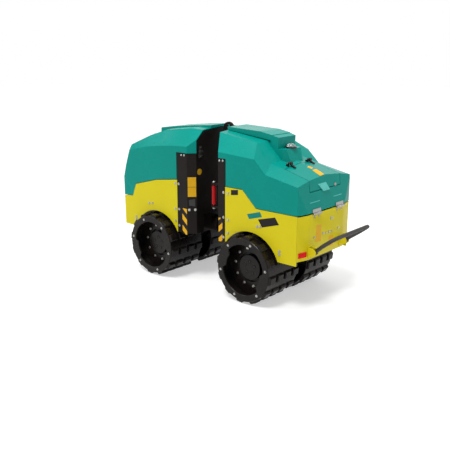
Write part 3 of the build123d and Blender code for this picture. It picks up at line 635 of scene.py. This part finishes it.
# Front bulkhead's angled corner: blank orange double plate, a small black cover and two bolts, along
# the corner from its inner edge; the round plate is on the flat face
cornerLow, cornerHigh = np.array([machine["bulkhead"], 0.284, 0.0]), np.array([0.2595, machine["side"], 0.0])
along = (cornerHigh - cornerLow) / np.linalg.norm(cornerHigh - cornerLow)
cornerOut = np.array([-along[1], along[0], 0.0])
corner = {"plate": (0.004, 0.070), "plateHeight": 0.076, "plateFeet": (0.703, 0.782), "bolts": (0.012, 0.060),
          "boltHeight": 0.598, "cover": [(0.012, 0.625), (0.060, 0.632), (0.062, 0.678), (0.012, 0.684)]}
inEdge, outEdge = corner["plate"]
doublePlate = [foil([(inEdge, low), (outEdge, low), (outEdge, low + corner["plateHeight"]),
                     (inEdge, low + corner["plateHeight"])], cornerLow, along, zAxis, 0.001)
               for low in corner["plateFeet"]]
roundPlate = copies(aimed(turned([(0.025, 0.0001), (0.025, 0.0008)], 32), (-1, 0, 0)),
                    [(machine["bulkhead"], 0.250, 0.897)])
newPiece("orangePlatesFront", "front_frame", "black_frame", doublePlate + [roundPlate], "orange_foil")
cover = foil(corner["cover"], cornerLow, along, zAxis, 0.006, -0.0005)
newPiece("smallCoverFront", "front_frame", "dark_plastic", [cover], bevelMm=1.5)
cornerBolts = boltsAt("side", cornerOut, [cornerLow + along * reach + [0, 0, corner["boltHeight"]]
                                          for reach in corner["bolts"]])
newPiece("cornerBoltsFront", "front_frame", "bare_metal", [cornerBolts])

# Lock bar: silver pins in the ears above and below the red bar
barLow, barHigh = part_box("lock_bar")
pinX, pinY = (barLow[0] + barHigh[0]) / 2, (barLow[1] + barHigh[1]) / 2
pinGap = 0.0145  # the ear between the bar and the pin's head
pinHead = turned([(0.012, 0.0), (0.013, 0.002), (0.013, 0.009), (0.010, 0.012)], 20)
newPiece("lockBarPins", "rear_frame", "bare_metal",
         [copies(pinHead, [(pinX, pinY, barHigh[2] + pinGap)]),
          copies(aimed(pinHead, (0, 0, -1)), [(pinX, pinY, barLow[2] - pinGap)])])

# Silver strikers of the front hood's draw latches: height and reach before the bulkhead
strikerOutline = [(-0.011, -0.004), (0.011, -0.004), (0.011, 0.004), (-0.011, 0.004)]
strikers = [foil(strikerOutline, (machine["bulkhead"] - reach, y, height), yAxis, zAxis, 0.002)
            for y in (0.245, -0.245) for height, reach in ((1.022, 0.017), (1.088, 0.012))]
newPiece("latchStrikersFront", "front_frame", "bare_metal", strikers, bevelMm=0.6)
print("small parts done")


# A place on the hatch's two sloping faces: z = 1.1986 + 0.303 x - 0.0878 |y| + lift
def onHatch(outline, lift):
    x, y = np.asarray(outline, float).T
    return np.stack([x, y, 1.1986 + 0.303 * x - 0.0878 * np.abs(y) + lift], axis=1)


# Hatch: two small blank foils, each in two halves over the ridge at y = 0, and a lock beside the flap
foilHalves = [[(-0.645, 0.0219), (-0.637, 0), (-0.6755, 0), (-0.6823, 0.0143)],
              [(-0.637, 0), (-0.6353, -0.0048), (-0.6657, -0.0206), (-0.6755, 0)],
              [(-0.6918, 0.0282), (-0.6921, 0), (-0.7759, 0), (-0.7751, 0.0507)],
              [(-0.6921, 0), (-0.6923, -0.0262), (-0.7759, 0)]]
newPiece("hatchFoils", "hatch", "teal_cover",
         [capped(np.stack([onHatch(outline, -0.0006), onHatch(outline, 0.0009)])) for outline in foilHalves],
         "orange_foil")
noseOut, noseUp = (-0.99, 0, 0.13), (0.13, 0, 0.99)  # the rear face of the hood and the hatch leans forward
hatchLock = aimed(turned([(0.012, -0.002), (0.012, 0.003), (0.010, 0.005), (0.004, 0.005), (0.004, 0.009)], 20),
                  noseOut)
newPiece("hatchLock", "hatch", "bare_metal", [copies(hatchLock, [(-0.7906, -0.1261, 0.8758)])])

# Two short moulded ribs across the rear face of the rear hood, in the paler teal as a painted highlight
ribHeight = 0.005
ribs = [foil([(0.0, 0.0), (length, 0.0), (length, ribHeight), (0.0, ribHeight)], (-0.8019, start, 0.789), yAxis,
             noseUp, 0.0014, 0.0004) for start, length in ((0.083, 0.125), (-0.205, 0.110))]
newPiece("hoodRibsRear", "rear_hood", "teal_cover", ribs, "light_teal", bevelMm=0.5)

# Floor, light and camera
bpy.context.scene.view_settings.view_transform = "Standard"
studio = {"floorSize": 60.0, "floorColour": "#DADAD9", "floorLift": 0.46, "worldStrength": 0.3,
          "target": (0.1616, 0.0, 0.4232), "azimuth": 221.37, "elevation": 15.12, "distance": 5.206,
          "focal": 50.42}


# 1 for what the eye sees, also in metal and through glass, and 0 for light that falls on things
def seenShare(tree):
    path = addNode(tree, "ShaderNodeLightPath").outputs
    seen = worked(tree, "MAXIMUM", path["Is Camera Ray"], path["Is Glossy Ray"])
    return worked(tree, "MAXIMUM", seen, path["Is Transmission Ray"])


halfFloor = studio["floorSize"] / 2
floorMesh = bpy.data.meshes.new("floor")
floorMesh.from_pydata([(-halfFloor, -halfFloor, 0), (halfFloor, -halfFloor, 0), (halfFloor, halfFloor, 0),
                       (-halfFloor, halfFloor, 0)], [], [(0, 1, 2, 3)])
floor = bpy.data.objects.new("floor", floorMesh)
bpy.context.collection.objects.link(floor)
# Pale matt floor, lifted to white for the eye, which keeps its shadow
floorMaterial, tree, shader = newMaterial("paleFloor", studio["floorColour"], {"Roughness": 0.6})
lift = worked(tree, "MULTIPLY", seenShare(tree), studio["floorLift"])
shader.inputs["Emission Color"].default_value = toLinear("#FFFFFF")
tree.links.new(lift, shader.inputs["Emission Strength"])
floorMesh.materials.append(floorMaterial)

world = bpy.data.worlds.new("studio")
bpy.context.scene.world = world
world.use_nodes = True
tree = world.node_tree
background = tree.nodes["Background"]
background.inputs["Color"].default_value = toLinear("#FFFFFF")
strength = addNode(tree, "ShaderNodeMapRange", {"To Min": studio["worldStrength"], "To Max": 1.0},
                   {"Value": seenShare(tree)})
tree.links.new(strength.outputs["Result"], background.inputs["Strength"])

# A broad sun gives the soft shadow, the softboxes give the covers' facets and tops their sheen:
# kind, place, angle or size, and strength of each
lamps = {"keySun": ("SUN", (-0.3, 2.7, 5.0), 0.3, 1.75), "topLamp": ("AREA", (-0.2, 0.4, 4.4), 2.6, 66),
         "sideLamp": ("AREA", (3.5, 2.9, 3.6), 1.8, 45), "fillLamp": ("AREA", (-5.0, -0.5, 2.6), 3.0, 48)}
for lampName, (kind, spot, size, power) in lamps.items():
    lampData = bpy.data.lights.new(lampName, kind)
    setattr(lampData, "angle" if kind == "SUN" else "size", size)
    lampData.energy = power
    lamp = bpy.data.objects.new(lampName, lampData)
    lamp.location = spot
    lamp.rotation_euler = (-Vector(spot)).to_track_quat("-Z", "Y").to_euler()
    bpy.context.collection.objects.link(lamp)

turn, rise = math.radians(studio["azimuth"]), math.radians(studio["elevation"])
back = Vector((math.sin(turn) * math.cos(rise), -math.cos(turn) * math.cos(rise), math.sin(rise)))
cameraData = bpy.data.cameras.new("photoCamera")
cameraData.lens = studio["focal"]
cameraData.sensor_width = 36.0
cameraData.clip_end = 200.0
camera = bpy.data.objects.new("photoCamera", cameraData)
camera.location = Vector(studio["target"]) + back * studio["distance"]
camera.rotation_mode = "QUATERNION"
camera.rotation_quaternion = (-back).to_track_quat("-Z", "Y")
bpy.context.collection.objects.link(camera)
bpy.context.scene.camera = camera
print("stage done")
